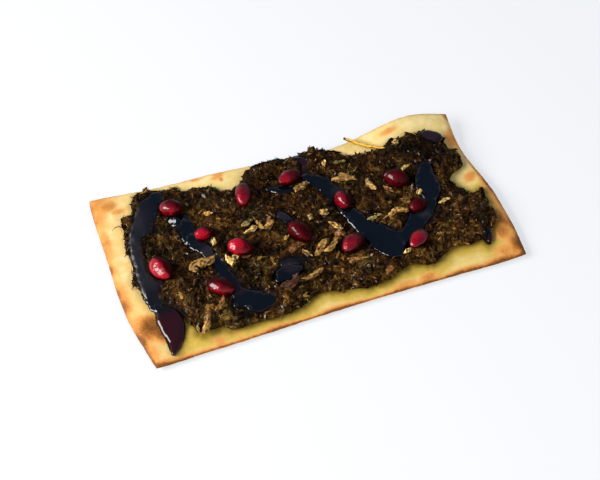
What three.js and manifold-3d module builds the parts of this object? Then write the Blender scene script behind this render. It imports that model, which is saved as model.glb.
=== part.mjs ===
// A crisp rectangular flatbread under a rough layer of cooked chopped spinach, with a dark syrup
// drizzled over it, chopped nuts, a strand of onion and pomegranate arils.
// Millimetres, +Z up. +X runs along the bread and +Y to its far side. The origin is the middle of
// the bread's plan, on the surface that it lies on.

import * as THREE from "three";
import { mergeVertices } from "three/addons/utils/BufferGeometryUtils.js";
import Module from "manifold-3d";

const wasm = await Module();
wasm.setup();

// Pieces that touch keep this gap.
const GAP = 0.3;

// Bread: a thin sheet, cut by hand, so that no two sides are alike.
const BREAD = {
  thickness: 2.3,
  rim: 0.45,
  columns: 28,
  rows: 14,
  nearLeft: [-73.8, -42.8],
  nearRight: [75.8, -39.5],
  farLeft: [-74.7, 43.1],
  farRight: [75.4, 38.8],
  cornerRound: 0.4,
};

// How far each side bows out from the line between its corners, at even steps along it.
const BOWS = {
  left: [0, 0.8, 2.2, 2.9, 2.9, 2.4, 1.8, 1.3, 1, 0.7, 0],
  right: [0, 0.3, 1, 1.1, 1.1, 0.6, -0.4, -1.3, -1.8, -1.3, 0],
  near: [0, -0.8, -0.9, -1.1, -1.4, -1.6, -1.5, -1.3, -1, -0.5, 0],
  far: [0, -0.7, -1, -1, -1.1, -1.4, -1.8, -1.4, -0.2, 1.1, 0],
};

// Where the baked sheet has curled up: x, y, reach along x, reach along y, rise.
const CURLS = [
  { x: 57, y: 44, reachX: 17, reachY: 14, rise: 7.3 },
  { x: -78, y: 46, reachX: 18, reachY: 17, rise: 3.4 },
  { x: -24, y: 49, reachX: 24, reachY: 13, rise: 3 },
  { x: 80, y: -6, reachX: 9, reachY: 26, rise: 1.8 },
  { x: -80, y: -14, reachX: 9, reachY: 22, rise: 1.2 },
];

// Air blisters in the crust: x, y, radius, height.
const BLISTERS = [
  [-22, 38, 5, 0.5],
  [49, 33, 5, 0.7],
  [71, 3, 5, 0.6],
  [-70, -21, 7, 0.6],
  [34, -36, 5, 0.5],
  [-70, 35, 6, 0.5],
  [70, -25, 7, 0.6],
  [-50, -39, 5, 0.4],
  [4, -38, 6, 0.4],
];

// Spinach: a spread layer, highest some way in from its ragged edge.
const SPINACH = {
  thickness: 4.1,
  edgeShare: 0.3,
  edgeRun: 4.2,
  lump: 9,
  lumpRise: 0.7,
  shred: 3.6,
  shredRise: 0.65,
  cell: 3.05,
  edgeStep: 3.6,
  fray: 0.7,
};

// The ragged edge of the spinach, clockwise from its far left.
const SPINACH_EDGE = [
  // far side
  [-56, 40], [-52, 39.2], [-47.8, 37.4], [-44.3, 36.8], [-41, 38], [-39.3, 34.9], [-33, 34.2],
  [-27.8, 33], [-25.5, 30.6], [-20, 28.8], [-16.5, 29.8], [-12.5, 36.2], [-1, 38.2], [10, 37.2],
  [14.5, 37.6], [16.5, 40.9], [19.5, 38.8], [25.5, 34.6], [27.7, 31], [37, 28.2], [44.4, 29],
  [47.5, 30.8], [50.5, 29.4], [54, 31], [61, 29],
  // right side
  [67, 26.5], [68.2, 23.5], [71, 17.5], [70.8, 11], [62.5, 7.3], [62, 3.8], [66.5, -4.2],
  [69, -5.7], [72.8, -3.4], [71, -13.7], [71.2, -19.7], [65.5, -27.5],
  // near side
  [60, -27.7], [49, -26.7], [40.5, -32.2], [36, -31.2], [32, -28.7], [20, -33.2], [12, -34.5],
  [-6, -30.7], [-16, -34.7], [-25, -36], [-42.5, -36], [-44.5, -32.7], [-51, -33], [-54.5, -32.7],
  // left side
  [-57.5, -24], [-64, -19.2], [-69, -11.7], [-68.8, -6.7], [-70.8, -2.5], [-68, 4], [-68.2, 15.3],
  [-65.8, 23.3], [-65.3, 28.8], [-60, 29.3], [-59.2, 34.5],
];

// Syrup: smooth thick runs that stand a little proud, each a line of x, y and width.
const SYRUP = { rise: 0.45, depth: 2.2, bevel: 0.45, step: 5, endSides: 2 };
const SYRUP_RUNS = {
  leftHead: [[-50.4, 34.6, 7.4], [-53.4, 31.2, 8.2], [-57.1, 25.2, 7.6], [-60.9, 20.3, 6.2], [-62.7, 18, 4.6]],
  leftBand: [[-62.9, 17.9, 4.2], [-64.1, 13.4, 3.8], [-65, 8.4, 4.2], [-65.9, 1.9, 4.4], [-66.2, -3.2, 4.8],
    [-65, -8.5, 7.4], [-65.3, -13.2, 6.6], [-66.3, -16.4, 3.8]],
  leftDrip: [[-64.4, -18.6, 5.5], [-63.2, -21.8, 9.4], [-62.8, -26, 9.6], [-63.6, -32, 7], [-65.8, -38.6, 2.2]],
  middle: [[-43.6, 20, 4.6], [-43.4, 12, 6], [-42.6, 6, 6.4], [-40, 0, 5.6], [-38.3, -7.9, 6.2],
    [-36.8, -14, 6]],
  middlePool: [[-36.2, -18.6, 4], [-34.7, -24.2, 7.4], [-30.4, -28.6, 7.6], [-24.4, -30, 5.5]],
  smallFar: [[-8, 11, 4.5], [-6.4, 5, 6]],
  smallNear: [[-12.2, -14.5, 4.5], [-13.2, -17.4, 7], [-16, -21.2, 7.6], [-19.2, -23.6, 4]],
  poolTop: [[6.9, 24, 4], [10.8, 21.6, 6.6], [14.8, 16.2, 7.6], [17, 10.5, 8], [17.4, 3, 6.4], [19, -3, 8]],
  poolWide: [[18.4, -1.4, 7.4], [20.8, -9, 9.6], [24.6, -15.8, 13.2], [27, -21.8, 10.5]],
  poolBranch: [[30, -17, 9], [38.6, -13.2, 9], [45.9, -9.2, 10.2], [50, -5, 8.6]],
  branchUp: [[50.6, -4.2, 8], [52, 1.1, 10], [52.6, 6.5, 9.4], [53.8, 12.6, 5]],
  farPatch: [[6, 32, 4.5], [10, 32, 5.5], [13.6, 30.8, 4]],
  seam: [[-6.1, 22.6, 2.6], [-1, 20.4, 3]],
  farBlob: [[61.2, 28.2, 6.5], [65.6, 25.4, 6.5]],
  rightDrip: [[64.6, -24, 3.8], [64.2, -27.6, 3.4], [63.6, -29.8, 2.4]],
};

// Chopped nuts and browned onion flakes: x, y, length, width, turn in degrees.
const CHIPS = [
  [-43.8, -5.6, 9.2, 4.4, 8], [-36.4, 1.8, 3.8, 3.2, 70], [-32.8, -8.2, 4.6, 2.6, 105],
  [-30.4, -7.4, 3, 2.2, 20], [-21.4, 8, 3.6, 3, 30], [-20.6, 4.4, 5, 2.8, 18],
  [-17, 6.4, 6.4, 2.4, 100], [-13.6, 4.6, 6.4, 3, 62], [-50.4, -31.6, 8, 3.2, 55],
  [-43.6, -26.9, 9, 2.4, 36], [-53.9, -32, 3.2, 1.9, 75], [2.6, -14.6, 11, 3.6, 24],
  [-7.6, -10.8, 5, 3.4, 20], [-4.6, -14.2, 5, 1.8, 105], [-6.8, -25.2, 8.4, 2, 5],
  [-15.8, -27, 6.4, 4.4, 35], [10.2, -5, 4.6, 2.6, 125], [10.4, -9.3, 4.4, 2.6, 160],
  [8.2, 3, 5.2, 1.9, 122], [2.7, 4, 3, 2.4, 20], [4.2, 17.6, 5.4, 2.8, 35],
  [23, 17, 7.6, 3.2, -16], [29.7, 9.4, 5.2, 3, 115], [18.2, 27, 3.6, 2.6, 60],
  [23.8, 27, 4, 1.8, 10], [47.4, 14.6, 3.4, 2.4, 30], [45.7, 3.6, 3.8, 1.8, 58],
  [36.2, 5, 4, 2.8, 130], [47.8, -0.4, 3.4, 2.2, 40], [25.2, -4.6, 4, 3, 150],
  [34, -7, 7.6, 2.6, -4], [54.8, -7.2, 4, 1.8, 15], [31.6, -25.9, 3, 2.2, 20],
  [48.2, 27.6, 2.4, 2.2, 0], [-33.8, 18.8, 3.2, 2, 150], [-21.5, -8.2, 4.4, 2.6, 32],
  [-9.6, -3.6, 2.8, 2.4, 80], [15, -28.4, 5.2, 2.4, 70], [10.8, -23.4, 6.4, 2.6, 160],
  [22.4, -31.6, 4, 2.2, 30],
];

// A strand of onion, from the spinach out over the bread's far edge.
const STRAND = {
  width: 1.3,
  thickness: 0.8,
  points: [[30.3, 38.4, 6.6], [35.2, 33.8, 6.2], [40, 29.8, 6.4], [44.5, 26.6, 6.8]],
};

// Pomegranate arils: x, y, length, width, turn of the pointed end, tilt, and how deep each sits.
const ARILS = [
  [-46.1, 24.8, 9.8, 7.6, -28, 4, 2.2], [-37.9, 9, 8.2, 5.8, 5, -6, 1.6],
  [-58.9, -2.9, 12.4, 8.3, 286, 5, 1.9], [-27.6, -3.5, 10.2, 7.6, -33, -4, 1.8],
  [-17.7, 22.3, 12.8, 7.1, 71, -6, 1.7], [2.2, 24.3, 11, 6.8, 198, 8, 1.7],
  [-3.7, -3.8, 11.6, 8, -64, -3, 2], [17.9, 6.4, 9.6, 7.2, -88, 8, 2.1],
  [41.4, 9.8, 10.4, 8, 144, 3, 2.2], [44.4, -5.7, 9, 6.4, 23, -8, 2.4],
  [13.2, -16.3, 11.2, 7.8, 208, 6, 1.9], [37.6, -22.4, 11.2, 7, 218, 10, 1.9],
  [-40.6, -18.9, 11.2, 7.4, -33, -3, 1.9],
];
const ARIL_SHAPE = { around: 11, along: 7, taper: 0.3, facet: 0.07, flat: 0.86 };

// Smooth 0 to 1 step between two values.
const smooth = (from, to, value) => {
  const t = THREE.MathUtils.clamp((value - from) / (to - from), 0, 1);
  return t * t * (3 - 2 * t);
};

// A repeatable random number from 0 to 1 for a whole-number place and seed.
function hash(i, j, seed) {
  const s = Math.sin(i * 127.1 + j * 311.7 + seed * 74.7) * 43758.5453;
  return s - Math.floor(s);
}

// Soft noise from -1 to 1, with one bump to each unit.
function noise(x, y, seed) {
  const i = Math.floor(x);
  const j = Math.floor(y);
  const u = smooth(0, 1, x - i);
  const v = smooth(0, 1, y - j);
  const near = THREE.MathUtils.lerp(hash(i, j, seed), hash(i + 1, j, seed), u);
  const far = THREE.MathUtils.lerp(hash(i, j + 1, seed), hash(i + 1, j + 1, seed), u);
  return 2 * THREE.MathUtils.lerp(near, far, v) - 1;
}

// A three.js geometry as a manifold solid, and back.
function solidOf(geometry) {
  const bare = geometry.clone();
  bare.deleteAttribute("normal");
  bare.deleteAttribute("uv");
  const merged = mergeVertices(bare, 1e-4);
  return new wasm.Manifold(
    new wasm.Mesh({
      numProp: 3,
      vertProperties: new Float32Array(merged.attributes.position.array),
      triVerts: new Uint32Array(merged.index.array),
    }),
  );
}

function geometryOf(solid) {
  const mesh = solid.getMesh();
  const geometry = new THREE.BufferGeometry();
  geometry.setAttribute("position", new THREE.BufferAttribute(mesh.vertProperties, 3));
  geometry.setIndex(new THREE.BufferAttribute(mesh.triVerts, 1));
  geometry.computeVertexNormals();
  return geometry;
}

// Height of the bread's underside: level, but for its curls.
function underside(x, y) {
  return CURLS.reduce((z, curl) => {
    const away = ((x - curl.x) / curl.reachX) ** 2 + ((y - curl.y) / curl.reachY) ** 2;
    return z + curl.rise * Math.max(0, Math.exp(-away / 2) - 0.08);
  }, 0);
}

// Height of the bread's upper face, with blisters and a slight unevenness.
function breadTop(x, y) {
  const blisters = BLISTERS.reduce((z, [bx, by, radius, height]) => {
    return z + height * (1 - smooth(0, radius, Math.hypot(x - bx, y - by)));
  }, 0);
  return underside(x, y) + BREAD.thickness + blisters + 0.18 * noise(x / 11, y / 11, 5);
}

// How far a side bows out at t along it, from 0 to 1.
const bow = Object.fromEntries(
  Object.entries(BOWS).map(([side, steps]) => {
    const curve = new THREE.SplineCurve(steps.map((out, k) => new THREE.Vector2(k, out)));
    return [side, (t) => curve.getPoint(t).y];
  }),
);

// A place in the bread's plan, for u along it and v across it, each from 0 to 1.
function breadPlan(u, v) {
  const mix = (a, b, t) => a + (b - a) * t;
  const { nearLeft, nearRight, farLeft, farRight, cornerRound } = BREAD;
  let x = mix(mix(nearLeft[0], nearRight[0], u), mix(farLeft[0], farRight[0], u), v);
  let y = mix(mix(nearLeft[1], nearRight[1], u), mix(farLeft[1], farRight[1], u), v);
  x += u * bow.right(v) - (1 - u) * bow.left(v);
  y += v * bow.far(u) - (1 - v) * bow.near(u);
  const s = 2 * u - 1;
  const t = 2 * v - 1;
  const corner = cornerRound * (s * t) ** 16;
  return [x - Math.sign(s) * corner, y - Math.sign(t) * corner];
}

// A closed sheet from two grids of points with a shared outer loop between them.
function sheet(columns, rows, top, side, bottom) {
  const positions = [];
  const index = [];
  const grid = (place) => {
    const start = positions.length / 3;
    for (let j = 0; j <= rows; j++)
      for (let i = 0; i <= columns; i++) positions.push(...place(i / columns, j / rows));
    return start;
  };
  const quad = (a, b, c, d) => index.push(a, b, c, a, c, d);
  const upper = grid(top);
  const lower = grid(bottom);
  const at = (i, j) => j * (columns + 1) + i;
  for (let j = 0; j < rows; j++) {
    for (let i = 0; i < columns; i++) {
      const corners = [at(i, j), at(i + 1, j), at(i + 1, j + 1), at(i, j + 1)];
      quad(...corners.map((k) => upper + k));
      quad(...corners.map((k) => lower + k).reverse());
    }
  }
  const loop = [];
  for (let i = 0; i < columns; i++) loop.push([i, 0]);
  for (let j = 0; j < rows; j++) loop.push([columns, j]);
  for (let i = columns; i > 0; i--) loop.push([i, rows]);
  for (let j = rows; j > 0; j--) loop.push([0, j]);
  const rim = positions.length / 3;
  loop.forEach(([i, j]) => positions.push(...side(i / columns, j / rows)));
  loop.forEach(([i, j], k) => {
    const next = (k + 1) % loop.length;
    const [a, b] = [at(i, j), at(...loop[next])];
    quad(upper + b, upper + a, rim + k, rim + next);
    quad(rim + next, rim + k, lower + a, lower + b);
  });
  const geometry = new THREE.BufferGeometry();
  geometry.setAttribute("position", new THREE.Float32BufferAttribute(positions, 3));
  geometry.setIndex(index);
  return geometry;
}

// The sheet of bread, with its edge rounded out between its two faces.
function breadGeometry() {
  const inset = (u, v) => {
    const k = BREAD.rim / 40;
    return breadPlan(k + u * (1 - 2 * k), 2 * k + v * (1 - 4 * k));
  };
  const top = (u, v) => {
    const [x, y] = inset(u, v);
    return [x, y, breadTop(x, y)];
  };
  const bottom = (u, v) => {
    const [x, y] = inset(u, v);
    return [x, y, underside(x, y)];
  };
  const side = (u, v) => {
    const [x, y] = breadPlan(u, v);
    return [x, y, underside(x, y) + 0.55 * BREAD.thickness];
  };
  return sheet(BREAD.columns, BREAD.rows, top, side, bottom);
}

// The spinach's edge, stepped finely and frayed.
function frayedEdge() {
  const corners = SPINACH_EDGE.map(([x, y]) => new THREE.Vector2(x, y));
  const points = [];
  corners.forEach((from, k) => {
    const to = corners[(k + 1) % corners.length];
    const steps = Math.max(1, Math.round(from.distanceTo(to) / SPINACH.edgeStep));
    const along = to.clone().sub(from).normalize();
    for (let i = 0; i < steps; i++) {
      const point = from.clone().lerp(to, i / steps);
      const fray = i ? SPINACH.fray * (2 * hash(k, i, 3) - 1) : 0;
      points.push(point.add(new THREE.Vector2(-along.y, along.x).multiplyScalar(fray)));
    }
  });
  return points;
}

const edge = frayedEdge();

// How far a place lies inside the spinach's edge, negative outside it.
function insideEdge(x, y) {
  let nearest = Infinity;
  let inside = false;
  edge.forEach((a, k) => {
    const b = edge[(k + 1) % edge.length];
    const [dx, dy] = [b.x - a.x, b.y - a.y];
    const t = THREE.MathUtils.clamp(((x - a.x) * dx + (y - a.y) * dy) / (dx * dx + dy * dy), 0, 1);
    nearest = Math.min(nearest, Math.hypot(x - a.x - t * dx, y - a.y - t * dy));
    if (a.y > y !== b.y > y && x < a.x + (dx * (y - a.y)) / dy) inside = !inside;
  });
  return inside ? nearest : -nearest;
}

// Height of the spinach without its fine relief, which the syrup follows.
function spinachBody(x, y) {
  const { thickness, edgeShare, edgeRun, lump, lumpRise } = SPINACH;
  const inside = insideEdge(x, y);
  const foot = edgeShare * smooth(-3.5, 0, inside) + 0.08;
  const share = foot + (1 - foot) * smooth(0, edgeRun, inside);
  return breadTop(x, y) + share * (thickness + lumpRise * noise(x / lump, y / lump, 11));
}

function spinachTop(x, y) {
  const { shred, shredRise } = SPINACH;
  const relief = noise(x / shred, y / shred, 23) + 0.6 * noise((2 * x) / shred, (2 * y) / shred, 29);
  return spinachBody(x, y) + shredRise * relief * smooth(-1, 2.5, insideEdge(x, y));
}

// The spread itself: a relief over the whole bread, cut to the frayed edge.
function spinachLayer() {
  const { cell } = SPINACH;
  const [halfX, halfY] = [78, 44];
  const [columns, rows] = [halfX, halfY].map((half) => Math.round((2 * half) / cell));
  const place = (u, v) => {
    const inner = u > 0 && u < 1 && v > 0 && v < 1 ? 0.34 * cell : 0;
    const [i, j] = [Math.round(u * columns), Math.round(v * rows)];
    const x = (2 * u - 1) * halfX + inner * (2 * hash(i, j, 41) - 1);
    const y = (2 * v - 1) * halfY + inner * (2 * hash(i, j, 43) - 1);
    return [x, y];
  };
  const floor = (x, y) => underside(x, y) + 0.74 * BREAD.thickness;
  const at = (height) => (u, v) => {
    const [x, y] = place(u, v);
    return [x, y, height(x, y)];
  };
  const relief = sheet(columns, rows, at(spinachTop), at((x, y) => floor(x, y) + 0.2), at(floor));
  const cutter = new THREE.ExtrudeGeometry(new THREE.Shape(edge), { depth: 40, bevelEnabled: false });
  cutter.translate(0, 0, -10);
  return solidOf(relief).intersect(solidOf(cutter));
}

// One run of syrup: its outline swept round the widths of its line, lying on the spinach.
function syrupRun(line) {
  const { rise, depth, bevel, step, endSides } = SYRUP;
  const path = new THREE.CatmullRomCurve3(line.map(([x, y, width]) => new THREE.Vector3(x, y, width)));
  const stations = Math.max(3, Math.round(path.getLength() / step));
  const left = [];
  const right = [];
  for (let i = 0; i <= stations; i++) {
    const at = path.getPoint(i / stations);
    const along = path.getTangent(i / stations).setZ(0).normalize();
    const half = at.z / 2 - bevel;
    left.push(new THREE.Vector2(at.x - along.y * half, at.y + along.x * half));
    right.push(new THREE.Vector2(at.x + along.y * half, at.y - along.x * half));
  }
  const cap = (from, to) => {
    const centre = from.clone().lerp(to, 0.5);
    return Array.from({ length: endSides }, (_, i) => {
      const turn = (-Math.PI * (i + 1)) / (endSides + 1);
      return from.clone().rotateAround(centre, turn);
    });
  };
  const outline = [
    ...left, ...cap(left[stations], right[stations]),
    ...right.reverse(), ...cap(right[stations], left[0]),
  ];
  const run = new THREE.ExtrudeGeometry(new THREE.Shape(outline), {
    depth: depth - bevel, bevelSize: bevel, bevelThickness: bevel, bevelSegments: 1,
  });
  run.translate(0, 0, rise - depth);
  const positions = run.attributes.position;
  for (let k = 0; k < positions.count; k++) {
    const lift = spinachBody(positions.getX(k), positions.getY(k));
    positions.setZ(k, positions.getZ(k) + lift);
  }
  return solidOf(run);
}

// An irregular chip, its corners pushed in and out at random, set into the spinach.
function chip([x, y, length, width, turn], k) {
  const geometry = new THREE.IcosahedronGeometry(1, length > 8.5 ? 1 : 0);
  const bare = geometry.attributes.position;
  for (let i = 0; i < bare.count; i++) {
    const corner = new THREE.Vector3().fromBufferAttribute(bare, i);
    const key = Math.round(50 * corner.x) + 7 * Math.round(50 * corner.y);
    corner.multiplyScalar(0.8 + 0.38 * hash(key, Math.round(50 * corner.z), k));
    bare.setXYZ(i, corner.x, corner.y, corner.z);
  }
  const height = 0.72 * width;
  geometry.scale(length / 2, width / 2, height / 2);
  geometry.rotateY(0.12 * (2 * hash(k, 1, 7) - 1));
  geometry.rotateZ(THREE.MathUtils.degToRad(turn));
  geometry.translate(x, y, Math.min(spinachBody(x, y), spinachTop(x, y)) + 0.14 * height);
  return solidOf(geometry);
}

function strand() {
  const { width, thickness, points } = STRAND;
  const path = new THREE.CatmullRomCurve3(points.map((p) => new THREE.Vector3(...p)));
  const [w, t] = [width / 2, thickness / 2];
  const section = new THREE.Shape([
    new THREE.Vector2(-t, -w), new THREE.Vector2(t, -w), new THREE.Vector2(t, w), new THREE.Vector2(-t, w),
  ]);
  return solidOf(new THREE.ExtrudeGeometry(section, { steps: 9, extrudePath: path }));
}

// An aril: an egg with one drawn-out end and the flats that its neighbours pressed into it.
function arilGeometry(length, width, k) {
  const { around, along, taper, facet, flat } = ARIL_SHAPE;
  const geometry = new THREE.SphereGeometry(1, around, along);
  geometry.rotateZ(-Math.PI / 2);
  const positions = geometry.attributes.position;
  for (let i = 0; i < positions.count; i++) {
    const corner = new THREE.Vector3().fromBufferAttribute(positions, i);
    const angle = Math.atan2(corner.z, corner.y);
    const pressed = 1 + facet * Math.cos(3 * angle + k) + 0.5 * facet * Math.cos(5 * angle + 2 * k);
    const drawn = 1 - taper * smooth(0, 1.2, corner.x);
    positions.setXYZ(i, corner.x, corner.y * pressed * drawn, corner.z * pressed * drawn * flat);
  }
  geometry.scale(length / 2, width / 2, width / 2);
  return geometry;
}

function arilMesh([x, y, length, width, turn, tilt, sunk], k) {
  const mesh = new THREE.Mesh(arilGeometry(length, width, k), materials.aril);
  mesh.name = `aril_${String(k + 1).padStart(2, "0")}`;
  const half = (ARIL_SHAPE.flat * width) / 2;
  mesh.position.set(x, y, spinachBody(x, y) + SYRUP.rise + half - sunk);
  mesh.rotation.set(0, -THREE.MathUtils.degToRad(tilt), THREE.MathUtils.degToRad(turn), "ZYX");
  mesh.updateMatrix();
  return mesh;
}

// The room that an aril takes in the spinach, larger than the aril by the gap all round.
function arilRoom(mesh, [, , length, width]) {
  const room = mesh.geometry.clone();
  const grown = (size) => 1 + (2.6 * GAP) / size;
  room.scale(grown(length), grown(width), grown(ARIL_SHAPE.flat * width));
  return solidOf(room.applyMatrix4(mesh.matrix));
}

const materials = {
  bread: new THREE.MeshStandardMaterial({ color: 0xe9cd86, roughness: 0.75, metalness: 0 }),
  spinach: new THREE.MeshStandardMaterial({ color: 0x35220f, roughness: 0.5, metalness: 0 }),
  aril: new THREE.MeshStandardMaterial({ color: 0x9a0a1c, roughness: 0.12, metalness: 0 }),
};

const flatbread = new THREE.Group();

const bread = new THREE.Mesh(breadGeometry(), materials.bread);
bread.name = "bread";
flatbread.add(bread);

const arils = ARILS.map(arilMesh);
flatbread.add(...arils);

// The spinach with all that is stuck to it, cleared of the bread and of the arils.
let spread = spinachLayer();
Object.values(SYRUP_RUNS).forEach((line) => (spread = spread.add(syrupRun(line))));
CHIPS.forEach((row, k) => (spread = spread.add(chip(row, k))));
spread = spread.add(strand());
const raisedBread = breadGeometry();
raisedBread.translate(0, 0, GAP);
spread = spread.subtract(solidOf(raisedBread));
arils.forEach((mesh, k) => (spread = spread.subtract(arilRoom(mesh, ARILS[k]))));
const [largest] = spread.decompose().sort((a, b) => b.volume() - a.volume());

const spinach = new THREE.Mesh(geometryOf(largest), materials.spinach);
spinach.name = "spinach_topping";
flatbread.add(spinach);

export default flatbread;
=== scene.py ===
import math
import random

import bpy
import numpy as np
from mathutils import Euler, Matrix, Vector, kdtree, noise
from mathutils.bvhtree import BVHTree


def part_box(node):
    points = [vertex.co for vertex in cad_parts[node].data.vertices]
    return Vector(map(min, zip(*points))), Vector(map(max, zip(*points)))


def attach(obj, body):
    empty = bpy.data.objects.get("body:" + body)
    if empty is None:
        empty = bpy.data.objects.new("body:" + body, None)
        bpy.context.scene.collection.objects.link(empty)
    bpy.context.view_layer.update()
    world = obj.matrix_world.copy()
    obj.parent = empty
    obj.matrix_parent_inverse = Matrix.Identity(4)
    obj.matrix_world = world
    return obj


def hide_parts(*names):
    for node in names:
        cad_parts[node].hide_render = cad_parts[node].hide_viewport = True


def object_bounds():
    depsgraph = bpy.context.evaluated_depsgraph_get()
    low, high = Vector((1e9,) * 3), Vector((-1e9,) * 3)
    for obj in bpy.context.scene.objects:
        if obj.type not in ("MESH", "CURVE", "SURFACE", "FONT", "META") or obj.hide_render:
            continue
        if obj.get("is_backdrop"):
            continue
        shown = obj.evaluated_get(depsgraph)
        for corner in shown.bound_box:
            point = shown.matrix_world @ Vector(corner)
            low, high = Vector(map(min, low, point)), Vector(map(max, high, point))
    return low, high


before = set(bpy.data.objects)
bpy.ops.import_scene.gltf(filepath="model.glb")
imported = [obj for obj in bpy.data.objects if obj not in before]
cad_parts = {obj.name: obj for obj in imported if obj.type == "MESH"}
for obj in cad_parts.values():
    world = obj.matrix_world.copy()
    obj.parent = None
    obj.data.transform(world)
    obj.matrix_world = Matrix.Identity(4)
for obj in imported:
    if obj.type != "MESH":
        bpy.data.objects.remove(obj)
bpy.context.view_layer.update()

# The bread is a thin sheet of plain dough, rolled out, cut by hand and baked crisp. It is pale and
# soft in colour where it stayed flat, toasted along its cut rim and on its blisters, and soaked
# with oil in a band round the spinach that lies on it. Past the spinach's near side the bread is
# also painted darker as painted shade of the spinach, with a painted shadow along its edge.

MM = 0.001
BREAD_CREAM = (0.62, 0.46, 0.165)
BREAD_WARM = (0.67, 0.44, 0.15)
BREAD_FLOUR = (0.67, 0.52, 0.24)
BREAD_OIL_AND_SHADE = (0.46, 0.31, 0.05)
BREAD_DEEP_OIL_SHADOW = (0.13, 0.08, 0.008)
TOAST_COLOURS = [
    (0.0, (0.66, 0.35, 0.1)), (0.45, (0.54, 0.23, 0.05)),
    (0.7, (0.33, 0.115, 0.018)), (0.95, (0.14, 0.045, 0.005)),
]

# How far a cut corner stays sharp, and how much the crust rises, swells and tears, in millimetres.
CORNER_REACH = 3.2
WAVE_RISE = 0.1
PORE_RISE = 0.05
BLISTER_RISE = 0.25
RIM_SWELL = 0.2
RIM_TEAR = 0.14

# How crisp the cut rim is, where 1 is a sharp edge.
RIM_CREASE = 0.75

# Toasted spots: x, y, reach along x, reach along y, turn in degrees, strength.
TOASTED = [
    (-31.8, 39.6, 3, 1, 0, 0.3), (-23.5, 38.2, 3.6, 1.8, 20, 0.36), (-22.4, 36.4, 0.9, 1.2, 0, 0.6),
    (48.6, 35.6, 4.6, 1.7, 6, 0.46), (60, 41, 9, 1, 0, 0.1), (71, 4.4, 3.6, 2.2, 40, 0.48),
    (74.6, 37.4, 1.8, 2.2, 0, 0.55), (72, 25.5, 2.6, 5.5, -8, 0.45),
    (76, -4, 1.8, 8, 8, 0.28), (75, 6, 1.2, 6, 0, 0.2),
    (72.6, -21, 3.4, 6, 10, 0.56), (70.6, -26, 3.6, 4.4, 0, 0.7), (73.8, -33.5, 4.2, 6.5, 8, 0.52),
    (68, -34.5, 4.5, 3, 0, 0.42), (75.2, -38.4, 2.6, 1.5, 0, 0.6),
    (-70.2, -24.6, 5, 5.6, 0, 0.92), (-67.4, -28.2, 3.4, 4.8, 0, 0.88), (-75.5, -30, 3, 7, 0, 0.45),
    (-72, -41.6, 6, 1.6, 0, 0.42), (-72.8, -35, 4.6, 4.6, 0, 0.24),
    (-77, 7.5, 2, 2.6, 0, 0.4), (-77.5, -4, 2, 3.2, 0, 0.36),
    (-76.4, -12.5, 2.4, 3.6, -20, 0.42), (-69, 36.6, 4.8, 2.6, 18, 0.5), (-65.4, 33.6, 3.4, 1.6, 0, 0.4),
    (-73, 36, 5, 6, 0, 0.3), (-74, 22, 1.8, 4, 0, 0.34), (-60, -41.6, 8, 1.8, 3, 0.45),
    (-48.2, -38.5, 2.4, 2.8, 0, 0.36), (-40.5, -36.6, 2, 2, 0, 0.24), (-24.6, -39.8, 8, 1.3, 0, 0.36),
    (-0.7, -38.9, 7, 1.2, 0, 0.32), (26.1, -37.6, 6, 2.2, 6, 0.3), (35.6, -37.2, 4.6, 2.4, 15, 0.42),
    (50, -38.6, 9, 1.5, 2, 0.4), (64, -38.3, 8, 1.7, 3, 0.44),
]


def select_only(piece):
    """Makes one piece the selected and active one."""
    bpy.ops.object.select_all(action="DESELECT")
    piece.select_set(True)
    bpy.context.view_layer.objects.active = piece


def finish_with(piece, kind, **settings):
    """Adds a modifier and applies it."""
    select_only(piece)
    modifier = piece.modifiers.new(kind.title(), kind)
    for key, value in settings.items():
        setattr(modifier, key, value)
    bpy.ops.object.modifier_apply(modifier=modifier.name)


def edit_all(piece, edit, **settings):
    """Runs one edit over the whole of a mesh."""
    select_only(piece)
    bpy.ops.object.mode_set(mode="EDIT")
    bpy.ops.mesh.select_all(action="SELECT")
    edit(**settings)
    bpy.ops.object.mode_set(mode="OBJECT")


def own_copy(node, name):
    """A copy of a solid of the frame, with its loose triangles merged into one skin."""
    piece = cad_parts[node].copy()
    piece.data = piece.data.copy()
    piece.name = piece.data.name = name
    bpy.context.collection.objects.link(piece)
    piece.parent = None
    for key in list(piece.keys()):
        del piece[key]
    piece.data.materials.clear()
    edit_all(piece, bpy.ops.mesh.remove_doubles, threshold=0.02 * MM)
    if piece.data.has_custom_normals:
        bpy.ops.mesh.customdata_custom_splitnormals_clear()
    return piece


def rows_of(items, key):
    """Three numbers of each vertex or face of a mesh, one row each."""
    flat = np.empty(3 * len(items), np.float32)
    items.foreach_get(key, flat)
    return flat.reshape(-1, 3).astype(float)


def points_of(piece):
    """The places of a mesh's vertices, one row each."""
    return rows_of(piece.data.vertices, "co")


def normals_of(piece):
    """The way that a mesh's surface faces at each vertex, one row each."""
    return rows_of(piece.data.vertices, "normal")


def place_points(piece, points):
    """Moves a mesh's vertices to new places, one row each."""
    piece.data.vertices.foreach_set("co", points.astype(np.float32).ravel())
    piece.data.update()


def weigh(piece, name, values):
    """Stores one number for each vertex, for materials to read."""
    layer = piece.data.attributes.new(name, "FLOAT", "POINT")
    layer.data.foreach_set("value", np.asarray(values, np.float32))


def distances(points, targets):
    """How far each point lies from the nearest target, seen from above."""
    tree = kdtree.KDTree(len(targets))
    for index, (x, y, _) in enumerate(targets):
        tree.insert((x, y, 0), index)
    tree.balance()
    return np.array([tree.find((x, y, 0))[2] for x, y, _ in points])


def ramp(low, high, values):
    """0 at low, 1 at high and soft between them."""
    t = np.clip((values - low) / (high - low), 0, 1)
    return t * t * (3 - 2 * t)


def clouds(points, size, seed):
    """Soft noise from -1 to 1 at each point."""
    shift = Vector((seed * 7.1, seed * 3.7, seed * 1.3))
    return np.array([noise.noise(Vector(p) / size + shift) for p in points])


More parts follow.
